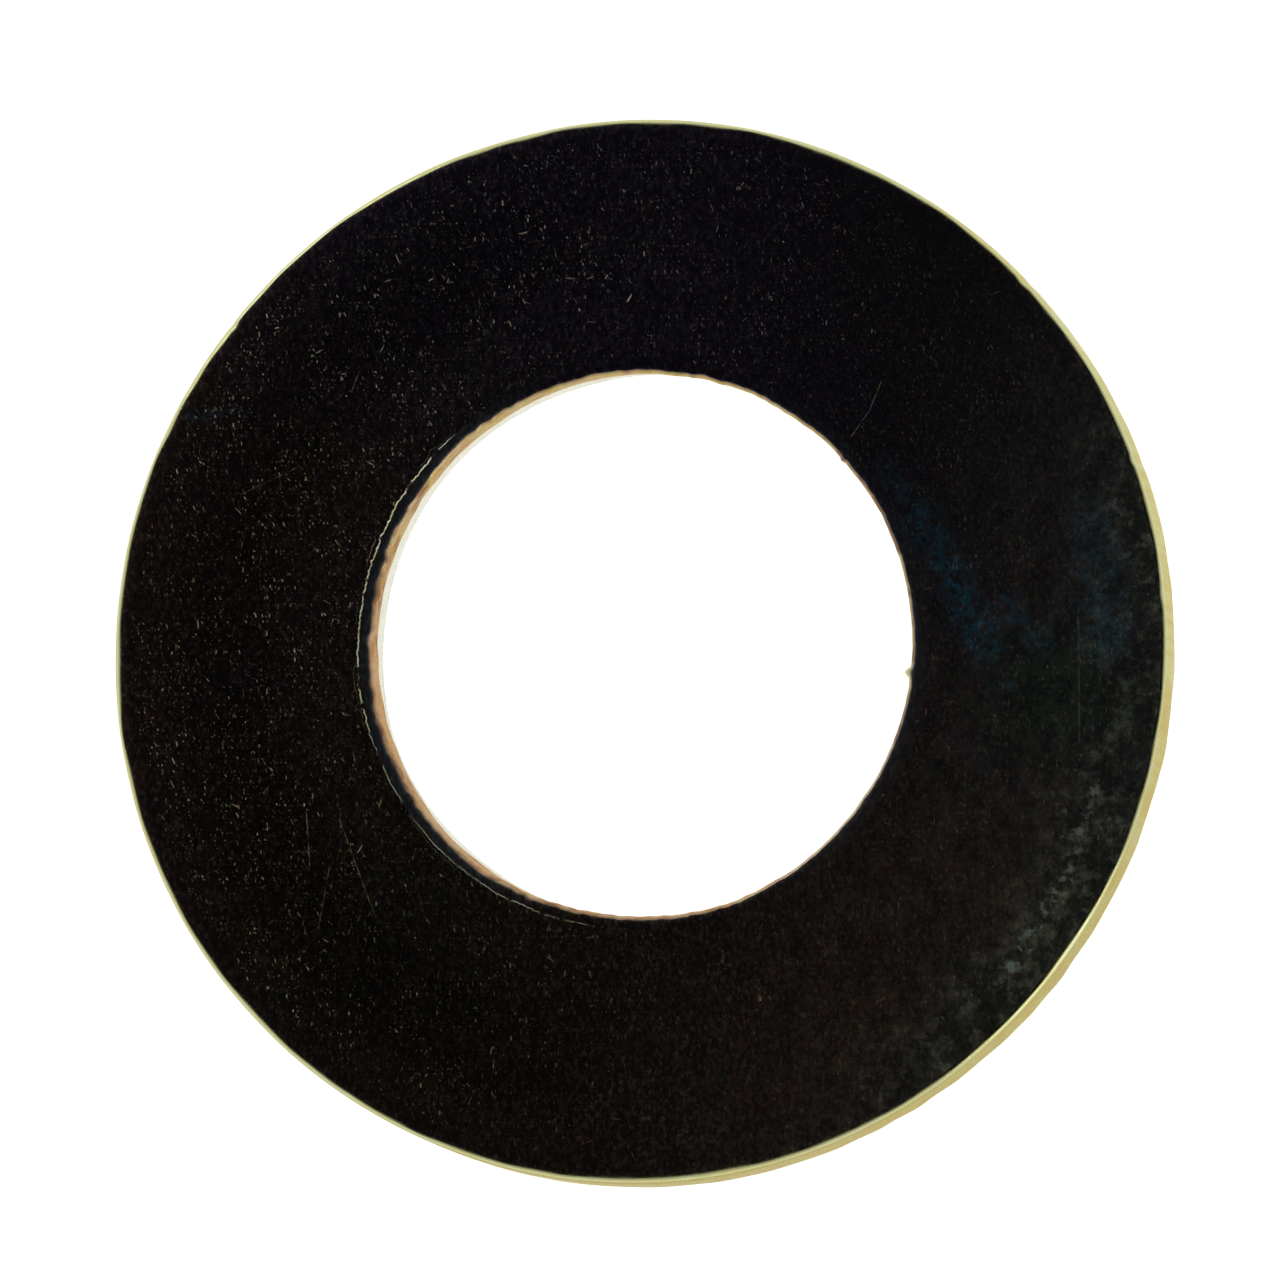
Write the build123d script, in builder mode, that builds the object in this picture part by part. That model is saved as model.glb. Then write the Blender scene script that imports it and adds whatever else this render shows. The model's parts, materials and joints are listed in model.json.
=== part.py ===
"""Plain flat washer for a 7/16 inch bolt, narrow series, stamped from steel strip.

Millimetres. The origin is on the bolt axis at the bottom face, and +Z points from the bottom
face to the top face. The top face is the die side of the stamping: at both of its edges the
sheet was drawn down in a shallow slope that ends in a small radius. Below the radius the wall
is smooth and sheared to size, and the last part of it, down to the bottom face, is broken
away at a slight slope.
"""

from build123d import *
import os

INCH = 25.4

# Driving dimensions: the sizes of the standard narrow washer for a 7/16 inch bolt.
outer_diameter = 0.922 * INCH
bore_diameter = 0.469 * INCH
thickness = 0.065 * INCH

# Outside edge: drawn-down slope, radius below it, and the broken part of the wall.
outer_slope_width = 0.43
outer_slope_drop = 0.055
outer_edge_radius = 0.17
outer_break_height = 0.56
outer_break_inset = 0.10

# Bore edge, in the same order. The broken part opens out a little towards the bottom.
bore_slope_width = 0.23
bore_slope_drop = 0.030
bore_edge_radius = 0.16
bore_break_height = 1.00
bore_break_widening = 0.045

bottom_edge_radius = 0.06  # burr side, tumbled after stamping

outer_radius = outer_diameter / 2
bore_radius = bore_diameter / 2


def corner(sketch, x, y):
    """The sketch's corner at that place."""
    return sketch.vertices().sort_by_distance(Vector(x, y))[0]


with BuildPart() as flat_washer:
    # Half of the ring's cross-section: X is the distance from the axis, Y is the height.
    with BuildSketch(Plane.XZ) as section:
        with BuildLine():
            Polyline(
                (bore_radius + bore_break_widening, 0),
                (outer_radius - outer_break_inset, 0),
                (outer_radius, outer_break_height),
                (outer_radius, thickness - outer_slope_drop),
                (outer_radius - outer_slope_width, thickness),
                (bore_radius + bore_slope_width, thickness),
                (bore_radius, thickness - bore_slope_drop),
                (bore_radius, bore_break_height),
                close=True,
            )
        make_face()

        # The sheared edges end in small radii, and the bottom corners lose their sharpness.
        fillet(corner(section, outer_radius, thickness), radius=outer_edge_radius)
        fillet(corner(section, bore_radius, thickness), radius=bore_edge_radius)
        fillet(section.vertices().group_by(Axis.Y)[0], radius=bottom_edge_radius)
    revolve(axis=Axis.Z)

flat_washer.part.label = "flat_washer"

os.makedirs("parts", exist_ok=True)
export_step(flat_washer.part, "parts/flat_washer.step")
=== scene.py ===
import json
import math

import bmesh
import bpy
import numpy as np
from mathutils import Matrix, Vector


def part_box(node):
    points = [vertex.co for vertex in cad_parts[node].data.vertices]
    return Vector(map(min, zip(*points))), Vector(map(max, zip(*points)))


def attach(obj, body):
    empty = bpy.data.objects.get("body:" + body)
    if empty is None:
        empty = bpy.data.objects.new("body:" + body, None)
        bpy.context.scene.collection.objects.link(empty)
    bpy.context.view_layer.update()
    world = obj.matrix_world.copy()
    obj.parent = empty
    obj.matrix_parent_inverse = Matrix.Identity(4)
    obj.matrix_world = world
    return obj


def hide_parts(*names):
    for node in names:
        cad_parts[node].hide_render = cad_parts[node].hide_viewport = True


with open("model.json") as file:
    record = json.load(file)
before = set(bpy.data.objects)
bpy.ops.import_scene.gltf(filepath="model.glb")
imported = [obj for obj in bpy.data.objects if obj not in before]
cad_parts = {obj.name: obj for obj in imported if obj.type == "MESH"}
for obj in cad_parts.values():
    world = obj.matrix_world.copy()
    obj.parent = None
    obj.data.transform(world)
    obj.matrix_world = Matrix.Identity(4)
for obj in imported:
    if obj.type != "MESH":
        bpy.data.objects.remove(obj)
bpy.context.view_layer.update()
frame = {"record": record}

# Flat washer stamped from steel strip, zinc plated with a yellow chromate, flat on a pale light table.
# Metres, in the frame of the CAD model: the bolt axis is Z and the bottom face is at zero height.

MM = 0.001
TURN = 2 * math.pi


# ---------------------------------------------------------------------------------------------
# Sizes: the main ones come from the CAD node and its mounts.
# ---------------------------------------------------------------------------------------------

def mount(name):
    """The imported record's mount of that name."""
    return next(m for m in frame["record"]["mounts"] if m["name"] == name)


node_low, node_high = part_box("flat_washer")
outer_radius = (node_high.x - node_low.x) / 2
thickness = node_high.z - node_low.z
bore_radius = mount("bore")["dims"]["r_mm"] * MM

# Changes round the ring are humps: the angle, the reach to each side in degrees, and the size.
OUTLINE_DENTS = ((43, 1.3, 0.9), (20, 1.0, 0.8), (141, 0.9, 0.7), (5, 1.4, 0.6))  # shares of a dent
outline_waver = 0.010 * MM          # the outline is this uneven
dent_depth = 0.014 * MM
dent_rounding = 0.05 * MM           # a dent's tight radius is this much larger
OUTER_RADIUS_CHANGES = ((280, 50, 0.06 * MM), (130, 40, -0.03 * MM))

# Outside edge, as the die left it.
outer_roll_width = 0.43 * MM         # from the flat face to the outside
outer_roll_slope = math.radians(14)  # how steep the run-in is where the tight radius starts
outer_edge_radius = 0.17 * MM
outer_break_height = 0.56 * MM       # torn part of the wall, up from the bottom face
outer_break_inset = 0.10 * MM
outer_break_waver = 0.12 * MM        # how far the torn part's upper edge goes up and down

# Bore edge: rolled further over on the left side of the hole than on the right.
bore_oversize = 0.035 * MM           # on the radius, well within tolerance
bore_roll_width = (0.155 * MM, 0.30 * MM)    # right side, left side
bore_edge_radius = (0.13 * MM, 0.19 * MM)
bore_roll_slope = math.radians(15)
bore_break_height = 1.00 * MM
bore_break_widening = 0.045 * MM
bore_break_waver = 0.12 * MM
BORE_OPENING_CHANGES = ((105, 40, -0.06 * MM), (202, 30, 0.07 * MM))  # at the bottom face
BORE_PULLS = ((262, 28, -0.06 * MM),)                # the top of the bore is pulled inwards here
BORE_RADIUS_CHANGES = ((315, 50, -0.05 * MM),)
bore_drift = Vector((0.058, 0.09)) * MM  # the hole is pierced a little off centre
bore_skew = Vector((0.02, 0.137)) * MM   # and leans: this much further off at the bottom face

BURR_ANGLE, BURR_REACH = -6.6, 1.6   # degrees: a burr at the right of the hole
burr_pull = 0.16 * MM                # it stands this far into the hole
burr_rounding = 0.18 * MM
BUMP_ANGLE, BUMP_REACH = 42, 1.0     # and a much smaller one at the back right
bump_pull = 0.035 * MM

bottom_edge_radius = 0.06 * MM
torn_roughness = 0.010 * MM

# Lip: a small step where the face was torn away from the rolled edge of the bore.
lip_height = 0.036 * MM
lip_width = 0.024 * MM
lip_ledge = 0.055 * MM             # from the lip to a second, fainter one
second_lip_height = 0.014 * MM
lip_middle = math.radians(166)     # it is full at the back left of the hole
lip_reach = math.radians(40)       # and fades out this far to each side
faint_lip_middle = math.radians(196)  # much lower, it goes on round the front
faint_lip_reach = math.radians(84)
FAINT_LIP_SHARE = 0.42                # of the full lip's height

# Mesh: spokes round the ring, and rings across each zone of the section.
SPOKES = 1024
FACE_RINGS, RUN_RINGS, TURN_RINGS, LAND_RINGS, BREAK_RINGS, EDGE_RINGS = 7, 6, 11, 6, 10, 4
GUARD = 0.012 * MM  # a ring this close to each edge of a flat face keeps its shading flat

# A tight radius counts as wall beyond this angle: it takes the wall's finish from there down.
OUTER_WALL_ANGLE = math.radians(58)
BORE_WALL_ANGLE = math.radians(32)

spoke = np.arange(SPOKES) * TURN / SPOKES


# ---------------------------------------------------------------------------------------------
# Irregular shapes
# ---------------------------------------------------------------------------------------------

def waves(seed, fewest, most, falloff=1.0):
    """A closed ring of random waves, one value per spoke, mostly between -1 and 1."""
    rng = np.random.default_rng(seed)
    counts = np.arange(fewest, most + 1)
    phase = rng.uniform(0, TURN, counts.size)
    ring = (counts ** -falloff * np.cos(np.outer(spoke, counts) + phase)).sum(axis=1)
    return ring / (2 * ring.std())


def torn_grain(seed, rings):
    """Rough broken metal: one value for each spoke and ring, mostly between -1 and 1."""
    rng = np.random.default_rng(seed)
    rough = rng.normal(size=(SPOKES, rings))
    for width, share in ((1, 1.0), (3, 1.6), (7, 2.2)):
        soft = rng.normal(size=(SPOKES, rings))
        for shift in range(1, width + 1):
            soft = (soft + np.roll(soft, shift, axis=0) + np.roll(soft, -shift, axis=0)) / 3
        rough = rough + share * soft / soft.std()
    return rough / (2 * rough.std())


def bump_at(angle_deg, width_deg):
    """A smooth hump, one value per spoke: 1 at that angle, and 0 beyond its width to each side."""
    away = np.abs((spoke - math.radians(angle_deg) + math.pi) % TURN - math.pi)
    share = np.clip(1 - away / math.radians(width_deg), 0, 1)
    return share * share * (3 - 2 * share)


def humps(places):
    """The sum of several humps: (angle, reach in degrees, size)."""
    return sum(size * bump_at(angle, reach) for angle, reach, size in places)


# ---------------------------------------------------------------------------------------------
# The washer's section, zone by zone. Each ring is (radius, height), one value per spoke.
# ---------------------------------------------------------------------------------------------

def rolled_edge(width, slope, radius, wander, first_depth=0.0):
    """Rings from the face down into the wall: (distance in from the wall, depth, slope there).

    A shallow run-in steepens up to `slope`, and a tight radius turns it down into the wall.
    `wander` makes the tight radius larger or smaller, spoke by spoke."""
    tight = radius + wander
    run = width - tight * (1 - math.sin(slope))
    drop = run * math.tan(slope) / 2
    rings = []
    for t in np.linspace(0, 1, RUN_RINGS, endpoint=False):
        rings.append((width - run * t, first_depth + drop * t * t, slope * t))
    for angle in np.linspace(slope, math.pi / 2, TURN_RINGS):
        rings.append((tight * (1 - math.sin(angle)),
                      first_depth + drop + tight * (math.cos(slope) - math.cos(angle)), angle))
    return rings


def flat_steps(inner, outer):
    """Radii across a flat face, with a guard ring close to each edge."""
    steps = [inner, inner + GUARD]
    steps += [inner + (outer - inner) * t for t in np.linspace(0, 1, FACE_RINGS)[1:-1]]
    return steps + [outer - GUARD]


def lip_fade(middle, reach):
    """How much of the lip is left at each spoke: 1 over most of its length, 0 beyond its ends."""
    away = np.abs((spoke - middle + math.pi) % TURN - math.pi)
    return np.clip(2.5 * (1 - away / reach), 0, 1)


def washer_rings():
    """All rings of the section, in order round it, each with the zone that starts there."""
    rings = []

    def add(zone, radius, height):
        flat = np.zeros(SPOKES)
        rings.append((np.broadcast_to(zone, SPOKES), radius + flat, height + flat))

    dents = humps(OUTLINE_DENTS)
    outline = outer_radius - outline_waver * (1 + waves(11, 3, 26, 0.8)) - dent_depth * dents
    burr, small_bump = bump_at(BURR_ANGLE, BURR_REACH), bump_at(BUMP_ANGLE, BUMP_REACH)
    hole = bore_radius + bore_oversize + 0.004 * MM * waves(12, 3, 40, 0.7)

    # The lip round the bore, and the second one behind it.
    leftness = (1 + np.cos(spoke - lip_middle)) / 2
    roll_width = bore_roll_width[0] + (bore_roll_width[1] - bore_roll_width[0]) * leftness
    faint_lip = FAINT_LIP_SHARE * lip_fade(faint_lip_middle, faint_lip_reach)
    lip = np.maximum(lip_fade(lip_middle, lip_reach), faint_lip)
    gaps = np.clip(1.5 * waves(31, 12, 120, 0.3) - 0.35, 0, 1)  # where the lip is worn to a gentle slope
    ragged = 0.026 * MM * waves(14, 8, 60, 0.5) + 0.013 * MM * waves(24, 80, 400, 0.0)
    lip_foot = hole + roll_width + (0.3 + 0.7 * lip) * ragged
    uneven = np.exp(0.6 * waves(13, 8, 60, 0.3) + 0.6 * (1 - gaps) * waves(23, 80, 400, 0.0))
    lip_top = lip_foot + lip_width * uneven * (1 + 3 * gaps)
    second_foot = lip_top + lip_ledge * (1 + 0.4 * waves(27, 5, 40, 0.5))
    second_top = second_foot + 0.4 * lip_width
    second = lip * np.clip(0.2 + waves(26, 4, 34, 0.4), 0, 1) * second_lip_height
    first = lip * lip_height

    # Top face.
    face_out = outline - outer_roll_width
    for radius in flat_steps(second_top, face_out):
        add("face", radius, thickness)

    # Outside: rolled edge, sheared land, torn wall.
    outer_wander = 0.035 * MM * waves(15, 7, 70, 0.7) + dent_rounding * dents
    outer_wander = outer_wander + humps(OUTER_RADIUS_CHANGES)
    edge = rolled_edge(outer_roll_width, outer_roll_slope, outer_edge_radius, outer_wander)
    for inward, depth, angle in edge:
        zone = "face" if angle < outer_roll_slope else "edge" if angle < OUTER_WALL_ANGLE else "land"
        add(zone, outline - inward, thickness - depth)
    land_top = rings[-1][2]
    outer_break = outer_break_height + outer_break_waver * waves(16, 5, 90, 0.6)
    for t in np.linspace(0, 1, LAND_RINGS + 1)[1:]:
        add("land" if t < 1 else "torn", outline, land_top + (outer_break - land_top) * t)
    grain = torn_grain(17, BREAK_RINGS)
    for i, t in enumerate(np.linspace(0, 1, BREAK_RINGS + 1)[1:]):
        inset = outer_break_inset * t ** 0.8
        inset = inset + torn_roughness * (1 - grain[:, i]) * min(1, 4 * (1 - t) + 0.3)
        add("torn", outline - inset, outer_break + (bottom_edge_radius - outer_break) * t)
    wall_foot = rings[-1][1]
    for angle in np.linspace(0, math.pi / 2, EDGE_RINGS + 1)[1:]:
        add("torn", wall_foot - bottom_edge_radius * (1 - math.cos(angle)),
            bottom_edge_radius * (1 - math.sin(angle)))

    # Bottom face, inwards.
    bottom_out = rings.pop()[1]
    opening = bore_break_widening + humps(BORE_OPENING_CHANGES)
    bottom_in = hole + opening + bottom_edge_radius
    add("face", bottom_out, 0.0)
    for radius in flat_steps(bottom_in, bottom_out)[:0:-1]:
        add("face", radius, 0.0)
    add("bore_torn", bottom_in, 0.0)

    # Bore, upwards: softened edge, torn wall, sheared land, rolled edge.
    for angle in np.linspace(0, math.pi / 2, EDGE_RINGS + 1)[1:]:
        add("bore_torn", bottom_in - bottom_edge_radius * math.sin(angle),
            bottom_edge_radius * (1 - math.cos(angle)))
    bore_break = bore_break_height + bore_break_waver * np.clip(waves(18, 4, 90, 0.7), -1.6, 1.6)
    grain = torn_grain(19, BREAK_RINGS)
    for i, t in enumerate(np.linspace(0, 1, BREAK_RINGS + 1)[1:]):
        widening = opening * (1 - t) ** 0.8 + torn_roughness * (1 + grain[:, i]) * min(1, 4 * (1 - t))
        add("bore_torn" if t < 1 else "bore_land", hole + widening,
            bottom_edge_radius + (bore_break - bottom_edge_radius) * t)
    pull = 0.034 * MM * np.clip(waves(20, 9, 130, 0.7), -1.8, 1.8) * (0.2 + 0.8 * leftness)
    pull = pull - burr_pull * burr - bump_pull * small_bump + humps(BORE_PULLS)
    tight = bore_edge_radius[0] + (bore_edge_radius[1] - bore_edge_radius[0]) * leftness
    tight = tight + humps(BORE_RADIUS_CHANGES) + burr_rounding * burr + 0.012 * MM * waves(25, 30, 160, 0.2)
    edge = rolled_edge(lip_foot - hole - pull, bore_roll_slope, tight, 0.0, first + second)
    land_foot, land_top = rings[-1][2], thickness - edge[-1][1]
    for t in np.linspace(0, 1, LAND_RINGS + 1)[1:-1]:
        add("bore_land", hole + pull * t, land_foot + (land_top - land_foot) * t)
    for inward, depth, angle in edge[:0:-1]:
        zone = np.where(burr > 0.15, "edge", "bore_land") if angle > BORE_WALL_ANGLE else "face"
        add(zone, hole + pull + inward, thickness - depth)

    # The step back up to the face, in two lips with a ledge between them.
    lip_zone = np.where((lip > 0.3) & (gaps < 0.3), "lip", "face")
    for t in (0, 1 / 3, 2 / 3):
        add(lip_zone, lip_foot + (lip_top - lip_foot) * t, thickness - second - first * (1 - t))
    add("face", lip_top, thickness - second)
    add("face", lip_top + GUARD, thickness - second)
    add(np.where(second > 0.003 * MM, "lip", "face"), second_foot, thickness - second)
    return rings


def build_washer(materials):
    """One closed ring of quads, with a material for each zone of the section."""
    rings = washer_rings()
    slots = {zone: i for i, zone in enumerate(materials)}
    bm = bmesh.new()
    verts = []
    reach = outer_radius - outer_roll_width - bore_radius
    for _, radius, height in rings:
        share = np.clip((outer_radius - outer_roll_width - radius) / reach, 0, 1)
        depth = 1 - height / thickness
        xs = radius * np.cos(spoke) + (bore_drift.x + bore_skew.x * depth) * share
        ys = radius * np.sin(spoke) + (bore_drift.y + bore_skew.y * depth) * share
        verts.append([bm.verts.new(place) for place in zip(xs, ys, height)])
    for i, (zone, _, _) in enumerate(rings):
        here, after = verts[i], verts[(i + 1) % len(rings)]
        for s in range(SPOKES):
            n = (s + 1) % SPOKES
            quad = bm.faces.new((here[s], after[s], after[n], here[n]))
            quad.smooth = True
            quad.material_index = slots[zone[s]]
    bm.normal_update()
    mesh = bpy.data.meshes.new("washer")
    bm.to_mesh(mesh)
    bm.free()
    for material in materials.values():
        mesh.materials.append(material)
    washer = bpy.data.objects.new("washer", mesh)
    bpy.context.scene.collection.objects.link(washer)
    return washer


# ---------------------------------------------------------------------------------------------
# Node helpers
# ---------------------------------------------------------------------------------------------

class Nodes:
    """Adds nodes to a tree and links them, so that a material reads from top to bottom."""

    def __init__(self, tree):
        self.tree = tree

    def add(self, kind, inputs=None, **settings):
        node = self.tree.nodes.new("ShaderNode" + kind)
        for key, value in settings.items():
            setattr(node, key, value)
        for key, value in (inputs or {}).items():
            self.set(node.inputs[key], value)
        return node

    def set(self, socket, value):
        if isinstance(value, bpy.types.NodeSocket):
            self.tree.links.new(value, socket)
        else:
            socket.default_value = value

    def math(self, operation, a, b=0.0, c=0.0, clamp=False):
        node = self.add("Math", {0: a, 1: b, 2: c}, operation=operation, use_clamp=clamp)
        return node.outputs[0]

    def shrunk(self, vector, size):
        """The vector with `size` as its unit of length, and the inverse of the size."""
        inverse = self.math("DIVIDE", 1.0, size)
        node = self.add("VectorMath", {0: vector, "Scale": inverse}, operation="SCALE")
        return node.outputs[0], inverse

    def vector(self, operation, a, b=(0.0, 0.0, 0.0)):
        return self.add("VectorMath", {0: a, 1: b}, operation=operation)

    def spread(self, value, low, high, to_low=0.0, to_high=1.0):
        """The value's place between low and high, as a number between to_low and to_high."""
        node = self.add("MapRange", {"Value": value, "From Min": low, "From Max": high,
                                     "To Min": to_low, "To Max": to_high},
                        interpolation_type="SMOOTHSTEP")
        return node.outputs["Result"]

    def noise(self, vector, size, detail=3.0, roughness=0.5):
        """Cloudy noise whose patches are about `size` metres across."""
        node = self.add("TexNoise", {"Vector": vector, "Scale": 1 / size, "Detail": detail,
                                     "Roughness": roughness, "Distortion": 0.0})
        return node.outputs["Fac"]

    def ramp(self, value, colours):
        """The colour at that value between (place, colour) stops, given in order."""
        node = self.add("ValToRGB", {"Fac": value})
        stops = node.color_ramp.elements
        while len(stops) < len(colours):
            stops.new(0.5)
        for stop, (place, colour) in zip(stops, colours):
            stop.position = place
            stop.color = (*colour, 1.0)
        return node.outputs["Color"]

    def mix(self, share, a, b):
        """The colour a turned into b by that share."""
        node = self.add("Mix", data_type="RGBA", blend_type="MIX")
        self.set(node.inputs[0], share)
        self.set(node.inputs[6], a)
        self.set(node.inputs[7], b)
        return node.outputs[2]


def new_group(name, inputs, outputs):
    """An empty node group with those named sockets: (name, kind, value) in, (name, kind) out."""
    tree = bpy.data.node_groups.new(name, "ShaderNodeTree")
    for label, kind, value in inputs:
        socket = tree.interface.new_socket(name=label, in_out="INPUT", socket_type="NodeSocket" + kind)
        if value is not None:
            socket.default_value = value
    for label, kind in outputs:
        tree.interface.new_socket(name=label, in_out="OUTPUT", socket_type="NodeSocket" + kind)
    start = tree.nodes.new("NodeGroupInput")
    end = tree.nodes.new("NodeGroupOutput")
    return tree, Nodes(tree), start.outputs, end.inputs


# ---------------------------------------------------------------------------------------------
# Effects shared by the finishes
# ---------------------------------------------------------------------------------------------

def make_chromate_film():
    """Colour of the yellow chromate film, which changes with how thick it grew."""
    tree, n, given, out = new_group(
        "chromate_film",
        [("Position", "Vector", None), ("Thickness", "Float", 0.3), ("Drift", "Float", 0.2),
         ("Patch Size", "Float", 3 * MM)],
        [("Color", "Color")])
    scaled, _ = n.shrunk(given["Position"], given["Patch Size"])
    broad = n.add("TexNoise", {"Vector": scaled, "Scale": 1.0, "Detail": 2.0, "Roughness": 0.45,
                               "Distortion": 0.6}).outputs["Fac"]
    fine = n.add("TexNoise", {"Vector": scaled, "Scale": 5.5, "Detail": 3.0,
                              "Roughness": 0.6}).outputs["Fac"]
    uneven = n.math("ADD", n.math("MULTIPLY", broad, 0.75), n.math("MULTIPLY", fine, 0.25))
    swing = n.math("MULTIPLY", n.math("SUBTRACT", uneven, 0.5), n.math("MULTIPLY", given["Drift"], 4.0))
    film = n.math("ADD", given["Thickness"], swing, clamp=True)
    n.set(out["Color"], n.ramp(film, (
        (0.00, (0.60, 0.61, 0.55)),  # bare bright zinc
        (0.16, (0.60, 0.63, 0.35)),  # pale straw with a green cast
        (0.32, (0.56, 0.48, 0.17)),  # straw gold
        (0.48, (0.49, 0.34, 0.10)),  # deep gold
        (0.62, (0.52, 0.29, 0.19)),  # rose
        (0.76, (0.28, 0.25, 0.33)),  # violet grey
        (0.88, (0.14, 0.27, 0.36)),  # blue
        (1.00, (0.25, 0.40, 0.20)),  # green
    )))
    return tree


def make_tumbling_marks():
    """Short nicks from tumbling in the plating barrel: one to a cell, each with its own lean."""
    tree, n, given, out = new_group(
        "tumbling_marks",
        [("Position", "Vector", None), ("Spacing", "Float", 0.2 * MM), ("Half Length", "Float", 0.05 * MM),
         ("Half Width", "Float", 0.012 * MM), ("Lean", "Float", 0.0), ("Lean Spread", "Float", 1.0),
         ("Share", "Float", 0.6)],
        [("Mask", "Float"), ("Tone", "Float")])
    scaled, inverse = n.shrunk(given["Position"], given["Spacing"])
    cells = n.add("TexVoronoi", {"Vector": scaled, "Scale": 1.0, "Randomness": 1.0},
                  voronoi_dimensions="2D", feature="F1")
    draw = n.add("SeparateColor", {"Color": cells.outputs["Color"]}).outputs
    offset = n.vector("SUBTRACT", scaled, cells.outputs["Position"]).outputs[0]
    lean = n.math("MULTIPLY_ADD", n.math("SUBTRACT", draw[0], 0.5), given["Lean Spread"], given["Lean"])
    turned = n.add("VectorRotate", {"Vector": offset, "Angle": lean}, rotation_type="Z_AXIS").outputs[0]
    apart = n.add("SeparateXYZ", {"Vector": turned}).outputs
    along = n.math("ABSOLUTE", apart[1])
    bend = n.math("MULTIPLY", n.math("MULTIPLY", along, along), n.math("SUBTRACT", draw[2], 0.5))
    across = n.math("ABSOLUTE", n.math("ADD", apart[0], bend))
    length = n.math("MULTIPLY", n.math("MULTIPLY", given["Half Length"], inverse),
                    n.math("MULTIPLY_ADD", draw[2], 0.9, 0.45))
    width = n.math("MULTIPLY", n.math("MULTIPLY", given["Half Width"], inverse),
                   n.math("MULTIPLY_ADD", draw[0], 0.5, 0.7))
    ends = n.spread(n.math("DIVIDE", along, length), 1.0, 0.4)
    sides = n.spread(n.math("DIVIDE", across, width), 1.0, 0.15)
    kept = n.math("LESS_THAN", draw[1], given["Share"])
    depth = n.math("POWER", n.math("DIVIDE", draw[1], given["Share"], clamp=True), 3.2)
    mark = n.math("MULTIPLY", n.math("MULTIPLY", ends, sides), n.math("MULTIPLY", kept, depth))
    n.set(out["Mask"], mark)
    n.set(out["Tone"], draw[2])
    return tree


def make_drawn_streaks():
    """Fine streaks down a sheared wall, and the slow changes between them."""
    tree, n, given, out = new_group(
        "drawn_streaks",
        [("Position", "Vector", None), ("Streak Width", "Float", 0.03 * MM), ("Stretch", "Float", 0.06),
         ("Lean", "Float", 0.0)],
        [("Height", "Float"), ("Mask", "Float")])
    level = n.add("SeparateXYZ", {"Vector": given["Position"]}).outputs[2]
    twist = n.math("MULTIPLY", level, given["Lean"])
    turned = n.add("VectorRotate", {"Vector": given["Position"], "Angle": twist}, rotation_type="Z_AXIS")
    apart = n.add("SeparateXYZ", {"Vector": turned.outputs[0]}).outputs
    squeezed = n.add("CombineXYZ", {0: apart[0], 1: apart[1],
                                    2: n.math("MULTIPLY", level, given["Stretch"])})
    scaled, _ = n.shrunk(squeezed.outputs[0], given["Streak Width"])
    fine = n.add("TexNoise", {"Vector": scaled, "Scale": 1.0, "Detail": 2.0,
                              "Roughness": 0.6}).outputs["Fac"]
    broad = n.add("TexNoise", {"Vector": scaled, "Scale": 0.17, "Detail": 2.0,
                               "Roughness": 0.5}).outputs["Fac"]
    n.set(out["Height"], n.math("ADD", n.math("MULTIPLY", fine, 0.6), n.math("MULTIPLY", broad, 0.4)))
    n.set(out["Mask"], n.spread(broad, 0.38, 0.62))
    return tree


def make_scratch_line():
    """1 along a straight line between two places, falling to 0 at `Width` from it."""
    tree, n, given, out = new_group(
        "scratch_line",
        [("Position", "Vector", None), ("Start", "Vector", None), ("End", "Vector", None),
         ("Width", "Float", 0.02 * MM)],
        [("Mask", "Float")])
    reach = n.vector("SUBTRACT", given["End"], given["Start"]).outputs[0]
    offset = n.vector("SUBTRACT", given["Position"], given["Start"]).outputs[0]
    along = n.vector("DOT_PRODUCT", offset, reach).outputs["Value"]
    whole = n.vector("DOT_PRODUCT", reach, reach).outputs["Value"]
    share = n.math("DIVIDE", along, whole, clamp=True)
    nearest = n.add("VectorMath", {0: reach, "Scale": share}, operation="SCALE").outputs[0]
    away = n.vector("DISTANCE", offset, nearest).outputs["Value"]
    n.set(out["Mask"], n.spread(n.math("DIVIDE", away, given["Width"]), 1.0, 0.1))
    return tree


chromate_film = make_chromate_film()
tumbling_marks = make_tumbling_marks()
drawn_streaks = make_drawn_streaks()
scratch_line = make_scratch_line()


# ---------------------------------------------------------------------------------------------
# Finishes
# ---------------------------------------------------------------------------------------------

EDGE_TINT = (0.80, 0.72, 0.48, 1.0)  # the film stays golden where it is seen edge on


def start_finish(name, tint=EDGE_TINT):
    """A new material with one Principled shader, and the object position to paint by."""
    material = bpy.data.materials.new(name)
    material.use_nodes = True
    tree = material.node_tree
    tree.nodes.clear()
    n = Nodes(tree)
    surface = n.add("BsdfPrincipled", {"Metallic": 1.0, "Specular Tint": tint})
    end = n.add("OutputMaterial", {"Surface": surface.outputs[0]})
    position = n.add("TexCoord").outputs["Object"]
    return material, n, surface.inputs, position


def use(n, group, **values):
    """Places a shared effect in a material with its own values."""
    node = n.add("Group", node_tree=group)
    for label, value in values.items():
        n.set(node.inputs[label.replace("_", " ").title()], value)
    return node.outputs


def bumped(n, height, distance, normal=None):
    """A normal for relief this deep, on top of another normal where one is given."""
    node = n.add("Bump", {"Height": height, "Distance": distance, "Strength": 1.0})
    if normal is not None:
        n.set(node.inputs["Normal"], normal)
    return node.outputs[0]


def radius_of(n, position, centre=(0.0, 0.0)):
    """Distance from a vertical axis."""
    apart = n.add("SeparateXYZ", {"Vector": position}).outputs
    flat = n.add("CombineXYZ", {0: apart[0], 1: apart[1], 2: 0.0}).outputs[0]
    return n.vector("DISTANCE", flat, (*centre, 0.0)).outputs["Value"]


def on_face(x, y):
    """A place on the top face, given in millimetres."""
    return (x * MM, y * MM, thickness)


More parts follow.
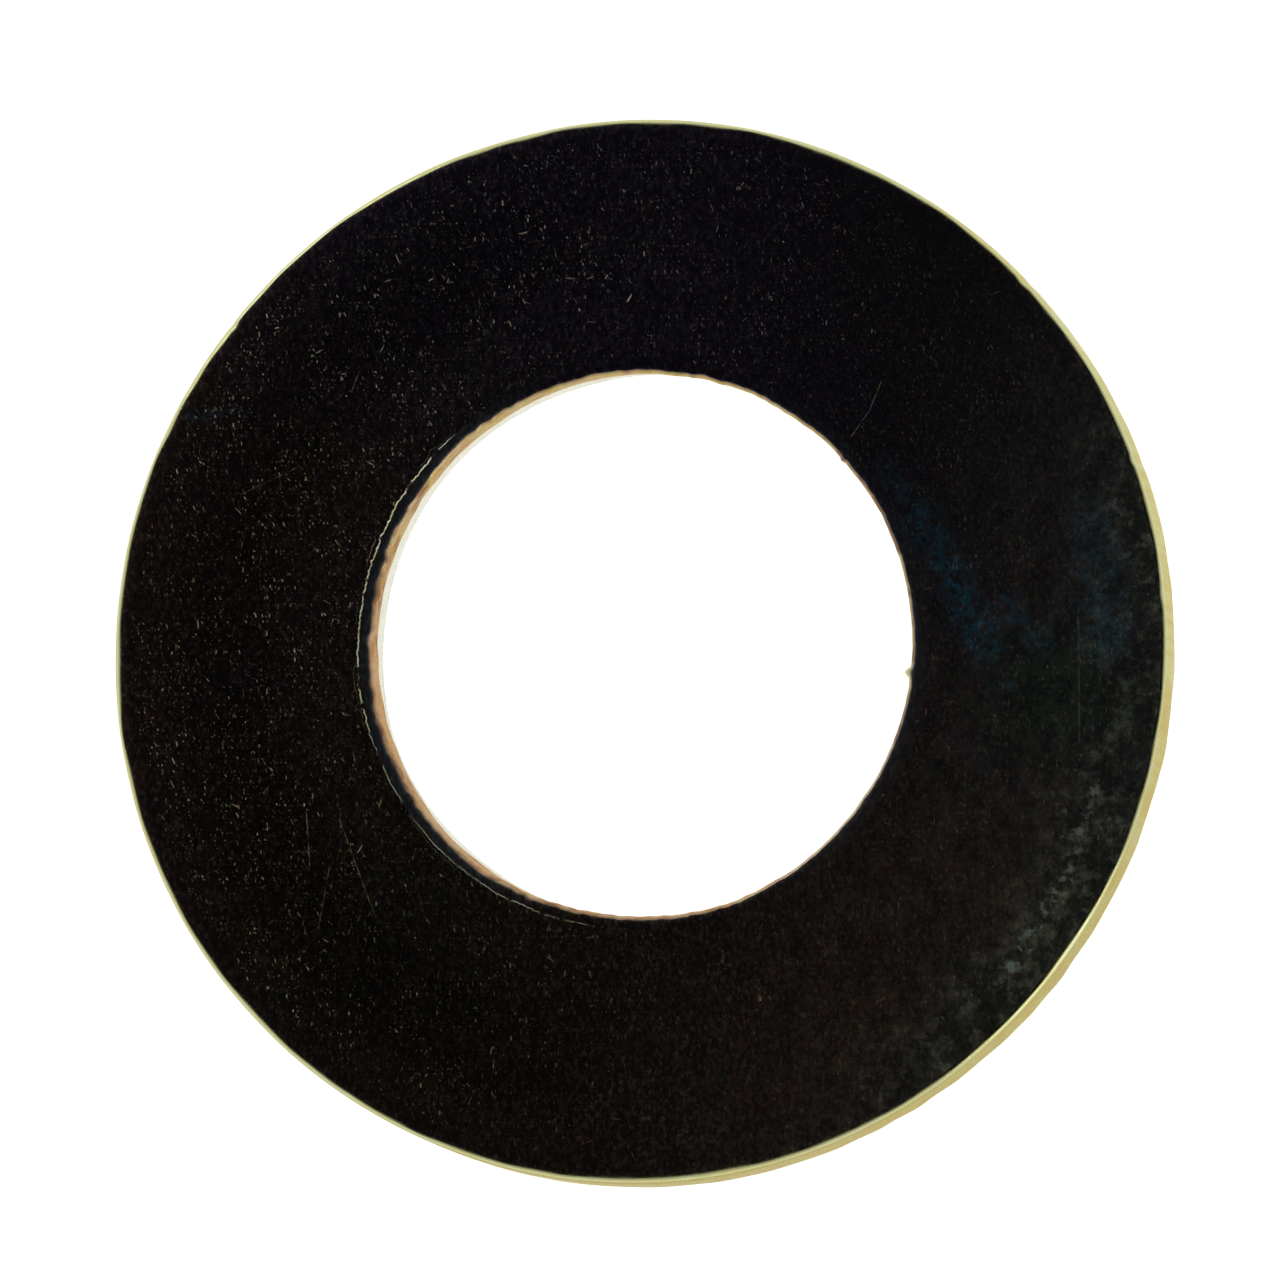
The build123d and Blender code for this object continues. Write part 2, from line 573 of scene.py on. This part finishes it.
def lines(n, position, places):
    """The strongest of several scratch lines: (x, y) to (x, y) in millimetres, width, strength."""
    strongest = None
    for (x0, y0), (x1, y1), width, strength in places:
        mask = use(n, scratch_line, position=position, start=on_face(x0, y0), end=on_face(x1, y1),
                   width=width * MM)["Mask"]
        mask = n.math("MULTIPLY", mask, strength)
        strongest = mask if strongest is None else n.math("MAXIMUM", strongest, mask)
    return strongest


# Film colours on the faces, as broad tints.
BROWN_GOLD = (0.60, 0.39, 0.27, 1)
VIOLET_GREY = (0.375, 0.295, 0.50, 1)
GREEN_GOLD = (0.42, 0.36, 0.14, 1)
PALE_GREY = (0.43, 0.44, 0.41, 1)
DULL_BLUE = (0.10, 0.42, 0.62, 1)
MOTTLE_ROSE = (0.60, 0.30, 0.30, 1)
MOTTLE_GREEN = (0.28, 0.40, 0.34, 1)
GREEN_PATCH = (0.18, 0.42, 0.26, 1)
SMOKY_RING = (0.06, 0.045, 0.04, 1)
RUBBED_RIM = (0.38, 0.47, 0.35, 1)
BORE_ROLL_GREY = (0.38, 0.42, 0.48, 1)
CHIP_GREEN = (0.36, 0.66, 0.64, 1)

# Colours of the small specks and of the tumbling marks, each along its own random value.
SPECK_COLOURS = ((0.38, (0.20, 0.50, 0.46)), (0.46, (0.60, 0.52, 0.14)),
                 (0.54, (0.62, 0.48, 0.20)), (0.62, (0.66, 0.40, 0.40)))
MARK_COLOURS = ((0.0, (0.95, 0.45, 0.16)), (0.4, (0.95, 0.78, 0.36)),
                (0.7, (0.94, 0.92, 0.72)), (1.0, (0.52, 0.85, 0.34)))
MARK_LEAN = math.radians(16)

# Dull blue stains, long scratches and pale chips on the top face: from, to, width, strength.
STAINS = (((6.3, 2.7), (7.7, 0.0), 0.75, 1.0), ((8.2, 0.9), (8.9, 0.0), 0.45, 0.8),
          ((5.5, 3.9), (6.4, 2.7), 0.45, 0.7), ((7.85, -0.95), (8.3, -0.95), 0.14, 0.8),
          ((10.0, 2.5), (10.4, 0.2), 0.95, 0.6), ((-10.0, 5.3), (-8.8, 5.4), 0.20, 0.8))
SCRATCHES = (((-7.39, -3.46), (-7.31, -4.70), 0.018, 0.6), ((-6.66, -3.61), (-5.84, -5.80), 0.018, 0.5),
             ((-7.12, -6.01), (-6.86, -4.59), 0.016, 0.45), ((4.71, 4.59), (5.12, 5.15), 0.018, 0.5),
             ((5.12, 5.15), (5.39, 5.80), 0.016, 0.4), ((9.74, 0.77), (9.76, -2.19), 0.036, 0.13),
             ((-6.40, 5.80), (-6.20, 6.30), 0.018, 0.5), ((-8.83, 3.60), (-7.61, 4.15), 0.020, 0.3),
             ((2.69, -7.66), (2.69, -7.72), 0.055, 1.0))
CHIPS = (((10.05, -3.25), (9.45, -5.20), 0.34, 0.7), ((9.45, -5.20), (8.10, -7.35), 0.34, 0.9),
         ((8.27, -6.95), (8.33, -7.25), 0.15, 1.0), ((5.30, -9.34), (6.09, -9.34), 0.05, 0.6))


# Layers of tumbling marks: shift of the pattern in metres, spacing, half length and half width in
# millimetres, lean, spread of the lean, share of cells with a mark.
MARK_LAYERS = (
    (None, 0.20, 0.060, 0.018, -MARK_LEAN, 1.0, 0.6),
    ((0.013, 0.007, 0), 0.13, 0.036, 0.015, -MARK_LEAN, 1.3, 0.8),
    ((-0.021, 0.017, 0), 0.50, 0.11, 0.015, MARK_LEAN, 3.0, 0.5),
    ((0.031, -0.023, 0), 0.085, 0.028, 0.014, -MARK_LEAN, 1.6, 0.9),
)
MARK_WEIGHTS = (0.8, 1.0, 0.5)  # of the layers after the first
RUB_LAYER = ((0.027, 0.012, 0), 0.30, 0.10, 0.034, -MARK_LEAN, 2.6, 0.7)


def mark_layer(n, position, shift, spacing, half_length, half_width, lean, lean_spread, share):
    """One layer of tumbling marks; a shift moves its pattern clear of the other layers'."""
    if shift is not None:
        position = n.vector("ADD", position, shift).outputs[0]
    return use(n, tumbling_marks, position=position, spacing=spacing * MM,
               half_length=half_length * MM, half_width=half_width * MM, lean=lean,
               lean_spread=lean_spread, share=share)


def face_finish():
    """Flat faces: smoky film in soft tints, with tumbling marks and a few stains and scratches."""
    material, n, surface, position = start_finish("chromated_face")
    x, y, _ = n.add("SeparateXYZ", {"Vector": position}).outputs

    # Broad tints: brown gold on the left, greener below it, violet at the back, grey on the right.
    tint = n.mix(n.spread(n.math("MULTIPLY_ADD", x, 0.5, y), -1 * MM, 7 * MM), BROWN_GOLD, VIOLET_GREY)
    lower_left = n.vector("DISTANCE", position, on_face(-5.5, -6.0)).outputs["Value"]
    tint = n.mix(n.spread(lower_left, 7 * MM, 1 * MM, 0.0, 0.85), tint, GREEN_GOLD)
    rightness = n.spread(x, 2 * MM, 9 * MM)
    front = n.spread(y, -2 * MM, -7 * MM, 0.8, 0.15)
    tint = n.mix(n.math("MULTIPLY", rightness, front), tint, PALE_GREY)
    film = use(n, chromate_film, position=position, thickness=0.55, drift=0.35, patch_size=1.6 * MM)
    tint = n.mix(0.22, tint, film["Color"])

    # Fine mottling, drawn out a little from front to back.
    drawn_out = n.vector("MULTIPLY", position, (1.0, 0.6, 1.0)).outputs[0]
    mottle = n.noise(drawn_out, 0.085 * MM, 4.0, 0.65)
    cloud = n.noise(drawn_out, 0.45 * MM, 5.0, 0.7)
    hue = n.spread(n.noise(drawn_out, 0.13 * MM, 2.0, 0.6), 0.36, 0.64)
    tint = n.mix(0.35, tint, n.mix(hue, MOTTLE_ROSE, MOTTLE_GREEN))
    greener = n.vector("DISTANCE", position, on_face(9.2, -1.1)).outputs["Value"]
    tint = n.mix(n.spread(greener, 2.4 * MM, 0.4 * MM, 0.0, 0.50), tint, GREEN_PATCH)

    # Small coloured specks over the right and front, and a smoky arc well out on the left.
    specks = n.spread(n.noise(drawn_out, 0.075 * MM, 3.0, 0.6), 0.53, 0.72)
    specks = n.math("MULTIPLY", specks, n.spread(n.math("MULTIPLY_ADD", y, -0.5, x), -3 * MM, 4 * MM))
    speck_tint = n.ramp(n.noise(position, 0.30 * MM, 3.0, 0.65), SPECK_COLOURS)
    tint = n.mix(n.math("MULTIPLY", specks, 0.95), tint, speck_tint)
    out_from_middle = radius_of(n, position)
    ring = n.math("MULTIPLY", n.spread(out_from_middle, 7.2 * MM, 8.8 * MM),
                  n.spread(out_from_middle, 11.0 * MM, 9.8 * MM))
    ring = n.math("MULTIPLY", ring, n.spread(x, 1 * MM, -4 * MM, 0.0, 0.36))
    tint = n.mix(ring, tint, SMOKY_RING)

    # Marks crowd together on the left and thin out to the right, and stop short of the rolled edges. The
    # crowding on the left is partly painted light: more bright marks there stand in for glints where light
    # falls on the face from the left.
    side = n.spread(n.math("MULTIPLY_ADD", y, -0.35, x), -10 * MM, 9 * MM, 1.0, 0.26)
    crowding_and_painted_glints = n.math("MULTIPLY", side,
                   n.spread(n.noise(position, 0.7 * MM, 3.0, 0.6), 0.30, 0.68, 0.3, 1.1))
    from_bore = radius_of(n, position, bore_drift)
    lip_line = bore_radius + bore_oversize + bore_roll_width[1]
    run_in = n.spread(from_bore, lip_line + 0.03 * MM, lip_line - 0.03 * MM)
    leftness = n.spread(x, -1 * MM, -4.5 * MM)
    left_run = n.math("MULTIPLY", run_in, leftness)
    right_run = n.math("MULTIPLY", n.spread(from_bore, lip_line + 0.20 * MM, lip_line - 0.20 * MM),
                       n.spread(x, 1 * MM, 4.5 * MM, 0.0, 0.7))
    outer_clear = n.spread(out_from_middle, outer_radius - 0.34 * MM, outer_radius - 0.50 * MM)
    crowding_and_painted_glints = n.math("MULTIPLY", crowding_and_painted_glints, n.math("MULTIPLY", n.math("SUBTRACT", 1.0, run_in), outer_clear))
    layers = [mark_layer(n, position, *values) for values in MARK_LAYERS]
    marks = layers[0]["Mask"]
    for layer, weight in zip(layers[1:], MARK_WEIGHTS):
        marks = n.math("MAXIMUM", marks, n.math("MULTIPLY", layer["Mask"], weight))
    nicks = n.math("MULTIPLY", marks, crowding_and_painted_glints, clamp=True)
    worn = n.spread(n.noise(position, 0.12 * MM, 3.0, 0.6), 0.38, 0.60, 0.15, 1.0)
    marks = n.math("MAXIMUM", nicks, n.math("MULTIPLY", lines(n, position, SCRATCHES), worn))

    tone = n.ramp(layers[1]["Tone"], MARK_COLOURS)

    # Dull blue stains, a lighter haze on the right, and a rubbed rim with pale chips at the front right.
    stain = n.math("MULTIPLY", lines(n, position, STAINS),
                   n.spread(n.noise(position, 0.20 * MM, 5.0, 0.75), 0.36, 0.60, 0.0, 1.0))
    haze_side = n.spread(n.math("MULTIPLY_ADD", y, -0.40, x), 2.0 * MM, 11.0 * MM)
    patchy = n.math("MULTIPLY", n.spread(mottle, 0.30, 0.70, 0.80, 1.0),
                    n.spread(cloud, 0.34, 0.66, 0.45, 1.0))
    haze = n.math("MULTIPLY", haze_side, patchy)
    rim = n.math("MULTIPLY", n.spread(out_from_middle, 8.9 * MM, 11.2 * MM),
                 n.spread(n.math("MULTIPLY_ADD", y, -0.35, x), 6.0 * MM, 10.5 * MM))
    rub = n.spread(n.noise(position, 0.36 * MM, 5.0, 0.7), 0.46, 0.66)
    rubs = mark_layer(n, position, *RUB_LAYER)["Mask"]
    chips = n.math("MAXIMUM", n.math("MULTIPLY", rubs, rim), lines(n, position, CHIPS))
    chips = n.math("MULTIPLY", chips,
                   n.spread(n.noise(position, 0.24 * MM, 4.0, 0.65), 0.50, 0.62, 0.0, 0.42))
    haze = n.math("MULTIPLY_ADD", n.math("MULTIPLY", rim, rub), 0.75, n.math("MULTIPLY", haze, 0.78))

    tint = n.mix(n.math("MULTIPLY", rim, 0.6), tint, RUBBED_RIM)
    tint = n.mix(n.math("MULTIPLY", stain, 0.9), tint, DULL_BLUE)
    tint = n.mix(n.math("MULTIPLY", n.math("ADD", left_run, right_run), 0.8), tint, BORE_ROLL_GREY)
    tone = n.mix(n.spread(chips, 0.0, 0.3), tone, CHIP_GREEN)
    marks = n.math("MAXIMUM", marks, chips)
    n.set(surface["Base Color"], n.mix(marks, tint, tone))

    calm = n.spread(x, 0 * MM, 8 * MM, 1.0, 0.30)
    rough = n.math("MULTIPLY_ADD", n.spread(mottle, 0.38, 0.74, 0.0, 0.13), calm, 0.192)
    for mask, amount in ((haze, 0.20), (specks, 0.09), (stain, 0.10), (left_run, 0.09), (right_run, 0.07)):
        rough = n.math("MULTIPLY_ADD", mask, amount, rough)
    n.set(surface["Roughness"], n.math("MULTIPLY_ADD", marks, 0.42, rough, clamp=True))
    n.set(surface["Metallic"], n.math("MULTIPLY_ADD", marks, -0.85, 1.0))

    pebble = bumped(n, mottle, 0.0022 * MM)
    n.set(surface["Normal"], bumped(n, n.math("SUBTRACT", 1.0, nicks), 0.008 * MM, pebble))
    return material


# Colours of the walls.
OLIVE = (0.34, 0.31, 0.13, 1)
LAND_STREAK = (0.62, 0.56, 0.36, 1)
BORE_TINT = (0.80, 0.67, 0.46, 1)
BORE_TAN = (0.44, 0.32, 0.18, 1)
BORE_ROSE = (0.50, 0.27, 0.18, 1)
BORE_STREAK = (0.62, 0.54, 0.40, 1)
# Brown of the folds in the bore wall, partly painted shade along their folding edges.
FOLD_BROWN_AND_SHADE = (0.24, 0.11, 0.06, 1)
TORN_GRAIN = (0.66, 0.62, 0.50, 1)
BARE_TINT = (0.86, 0.85, 0.80, 1)
BARE_ZINC = (0.86, 0.86, 0.82, 1)


def edge_finish():
    """Tight outside radius: stretched smooth, with a thin yellow green film."""
    material, n, surface, position = start_finish("rolled_edge")
    x = n.add("SeparateXYZ", {"Vector": position}).outputs[0]
    film = use(n, chromate_film, position=position, thickness=n.spread(x, -6 * MM, 9 * MM, 0.20, 0.22),
               drift=0.08, patch_size=1.0 * MM)
    n.set(surface["Base Color"], film["Color"])
    n.set(surface["Roughness"], n.spread(n.noise(position, 0.3 * MM, 4.0, 0.6), 0.3, 0.7, 0.18, 0.30))
    n.set(surface["Normal"], bumped(n, n.noise(position, 0.06 * MM, 3.0, 0.6), 0.002 * MM))
    return material


def land_finish():
    """Sheared outside wall: burnished by the die, streaked straight down, more olive at the front."""
    material, n, surface, position = start_finish("sheared_land")
    y = n.add("SeparateXYZ", {"Vector": position}).outputs[1]
    fine = use(n, drawn_streaks, position=position, streak_width=0.035 * MM, stretch=0.08)
    thick = n.math("MULTIPLY_ADD", fine["Mask"], 0.10, n.spread(y, -9 * MM, 3 * MM, 0.25, 0.15))
    film = use(n, chromate_film, position=position, thickness=thick, drift=0.14, patch_size=1.2 * MM)
    olive = n.mix(n.spread(y, 1 * MM, -7 * MM, 0.0, 0.52), film["Color"], OLIVE)
    n.set(surface["Base Color"], n.mix(n.math("MULTIPLY", fine["Mask"], 0.3), olive, LAND_STREAK))
    n.set(surface["Roughness"], n.spread(fine["Height"], 0.3, 0.7, 0.26, 0.42))
    n.set(surface["Normal"], bumped(n, fine["Height"], 0.004 * MM))
    return material


def bore_land_finish():
    """Sheared bore wall: tan and rose gold, with darker lines that run round it: brown folds, with painted
    shade along their folding edges.
    """
    material, n, surface, position = start_finish("bore_land", tint=BORE_TINT)
    x, y, _ = n.add("SeparateXYZ", {"Vector": position}).outputs
    film = use(n, chromate_film, position=position, thickness=0.46, drift=0.24, patch_size=0.8 * MM)
    dulled = n.mix(0.30, film["Color"], BORE_TAN)
    rosy = n.spread(n.math("ADD", x, y), 0 * MM, -7 * MM, 0.0, 0.55)
    dulled = n.mix(rosy, dulled, BORE_ROSE)
    fine = use(n, drawn_streaks, position=position, streak_width=0.035 * MM, stretch=0.08)
    folds = use(n, drawn_streaks, position=position, streak_width=0.60 * MM, stretch=2.6, lean=60.0)
    pale = n.mix(n.math("MULTIPLY", fine["Mask"], 0.3), dulled, BORE_STREAK)
    # Dark brown in the hollows of the folds: partly the folds' own brown, partly painted shade where the
    # folding edges lie in shadow.
    fold_lines_and_shade = n.mix(n.spread(folds["Height"], 0.53, 0.42, 0.0, 0.8), pale, FOLD_BROWN_AND_SHADE)
    n.set(surface["Base Color"], fold_lines_and_shade)
    n.set(surface["Roughness"], n.spread(fine["Height"], 0.3, 0.7, 0.26, 0.42))
    relief = bumped(n, fine["Height"], 0.004 * MM)
    n.set(surface["Normal"], bumped(n, folds["Height"], 0.012 * MM, relief))
    return material


def torn_finish():
    """Torn outside wall: granular, paler and duller than the land."""
    material, n, surface, position = start_finish("torn_wall")
    film = use(n, chromate_film, position=position, thickness=0.22, drift=0.16, patch_size=0.8 * MM)
    grain = n.noise(position, 0.05 * MM, 5.0, 0.65)
    bare = n.spread(grain, 0.35, 0.65, 0.10, 0.40)
    n.set(surface["Base Color"], n.mix(bare, film["Color"], TORN_GRAIN))
    n.set(surface["Roughness"], n.spread(grain, 0.3, 0.7, 0.40, 0.58))
    n.set(surface["Normal"], bumped(n, grain, 0.012 * MM))
    return material


def bore_torn_finish():
    """Torn bore wall: granular and nearly bare zinc, with little film."""
    material, n, surface, position = start_finish("bore_torn", tint=BARE_TINT)
    film = use(n, chromate_film, position=position, thickness=0.22, drift=0.26, patch_size=0.5 * MM)
    grain = n.noise(position, 0.05 * MM, 5.0, 0.65)
    bare = n.spread(grain, 0.35, 0.65, 0.60, 0.95)
    n.set(surface["Base Color"], n.mix(bare, film["Color"], BARE_ZINC))
    n.set(surface["Roughness"], n.spread(grain, 0.3, 0.7, 0.20, 0.38))
    n.set(surface["Normal"], bumped(n, grain, 0.012 * MM))
    return material


def lip_finish():
    """Lips round the bore: freshly cut steps, pale straw."""
    material, n, surface, position = start_finish("bore_lip")
    film = use(n, chromate_film, position=position, thickness=0.12, drift=0.22, patch_size=0.4 * MM)
    n.set(surface["Base Color"], film["Color"])
    n.set(surface["Roughness"], n.spread(n.noise(position, 0.08 * MM, 3.0), 0.3, 0.7, 0.28, 0.5))
    n.set(surface["Normal"], bumped(n, n.noise(position, 0.04 * MM, 2.0), 0.002 * MM))
    return material


finishes = {
    "face": face_finish(),
    "edge": edge_finish(),
    "land": land_finish(),
    "torn": torn_finish(),
    "bore_land": bore_land_finish(),
    "bore_torn": bore_torn_finish(),
    "lip": lip_finish(),
}

washer = build_washer(finishes)
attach(washer, "root")
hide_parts("flat_washer")


# ---------------------------------------------------------------------------------------------
# Stage: a wide pale light table, soft light from all round, dark overhead.
# ---------------------------------------------------------------------------------------------

TABLE_RADIUS = 4.0
TABLE_HEIGHT = -0.01 * MM  # just clear of the washer's bottom face


def build_table():
    """A wide pale disc that also glows a little, so that it stays white under the washer."""
    bm = bmesh.new()
    rim = [bm.verts.new((TABLE_RADIUS * math.cos(a), TABLE_RADIUS * math.sin(a), TABLE_HEIGHT))
           for a in np.linspace(0, TURN, 64, False)]
    bm.faces.new(rim)
    mesh = bpy.data.meshes.new("light_table")
    bm.to_mesh(mesh)
    bm.free()
    table = bpy.data.objects.new("light_table", mesh)
    bpy.context.scene.collection.objects.link(table)

    material = bpy.data.materials.new("pale_table")
    material.use_nodes = True
    material.node_tree.nodes.clear()
    n = Nodes(material.node_tree)
    glow = n.add("Emission", {"Color": (1, 1, 1, 1), "Strength": 0.93})
    matt = n.add("BsdfDiffuse", {"Color": (0.82, 0.82, 0.82, 1)})
    both = n.add("AddShader", {0: glow.outputs[0], 1: matt.outputs[0]})
    n.add("OutputMaterial", {"Surface": both.outputs[0]})
    mesh.materials.append(material)


HORIZON_LIGHT = (0.70, 0.70, 0.70, 1)
DARK_CEILING = (0.0030, 0.0034, 0.0052, 1)
FADE_FROM, FADE_TO = math.radians(14), math.radians(42)  # heights between which the light fades


def build_surroundings():
    """Soft light from just above the table all round, fading to a dark ceiling."""
    world = bpy.data.worlds.new("studio")
    bpy.context.scene.world = world
    world.use_nodes = True
    world.node_tree.nodes.clear()
    n = Nodes(world.node_tree)
    direction = n.add("TexCoord").outputs["Generated"]
    up = n.add("SeparateXYZ", {"Vector": direction}).outputs[2]
    share = n.spread(up, math.sin(FADE_FROM), math.sin(FADE_TO))
    colour = n.mix(share, HORIZON_LIGHT, DARK_CEILING)
    back = n.add("Background", {"Color": colour, "Strength": 1.0})
    n.add("OutputWorld", {"Surface": back.outputs[0]})


def add_soft_box(name, azimuth_deg, height_deg, distance, size, watts):
    """A square soft light that faces the washer."""
    data = bpy.data.lights.new(name, "AREA")
    data.shape = "SQUARE"
    data.size = size
    data.energy = watts
    light = bpy.data.objects.new(name, data)
    azimuth, height = math.radians(azimuth_deg), math.radians(height_deg)
    outwards = Vector((math.cos(azimuth) * math.cos(height), math.sin(azimuth) * math.cos(height),
                       math.sin(height)))
    light.location = outwards * distance
    light.rotation_mode = "QUATERNION"
    light.rotation_quaternion = outwards.to_track_quat("Z", "Y")
    bpy.context.scene.collection.objects.link(light)


build_table()
build_surroundings()
for name, azimuth_deg, height_deg in (("soft_box_back_left", 135, 18), ("soft_box_front_right", -40, 16)):
    add_soft_box(name, azimuth_deg, height_deg, distance=0.9, size=0.45, watts=0.7)


# ---------------------------------------------------------------------------------------------
# Camera: far off with a long lens, nearly square on to the top face.
# ---------------------------------------------------------------------------------------------

CAMERA_DISTANCE = 0.55
CAMERA_LEAN = math.radians(11.6)       # away from the washer's axis
LEAN_DIRECTION = math.radians(-30)     # towards the right and the front
VIEW_WIDTH = 28.0 * MM
SENSOR_WIDTH = 36.0 * MM

camera_data = bpy.data.cameras.new("camera")
camera_data.sensor_width = SENSOR_WIDTH / MM
camera_data.lens = CAMERA_DISTANCE * SENSOR_WIDTH / VIEW_WIDTH / MM
camera_data.clip_start = 0.01
camera_data.clip_end = 10
camera = bpy.data.objects.new("camera", camera_data)
bpy.context.scene.collection.objects.link(camera)
bpy.context.scene.camera = camera

AIM_ABOVE, AIM_BESIDE = 0.215 * MM, 0.033 * MM  # the view's middle, off the middle of the face

face_middle = Vector((0, 0, node_high.z))
away = Vector((math.sin(CAMERA_LEAN) * math.cos(LEAN_DIRECTION),
               math.sin(CAMERA_LEAN) * math.sin(LEAN_DIRECTION), math.cos(CAMERA_LEAN)))
side = Vector((0, 1, 0)).cross(away).normalized()
above = away.cross(side)
aim = face_middle + AIM_ABOVE * above + AIM_BESIDE * side
camera.matrix_world = Matrix((side, above, away)).transposed().to_4x4()
camera.location = aim + CAMERA_DISTANCE * away

bpy.context.scene.view_settings.view_transform = "Standard"
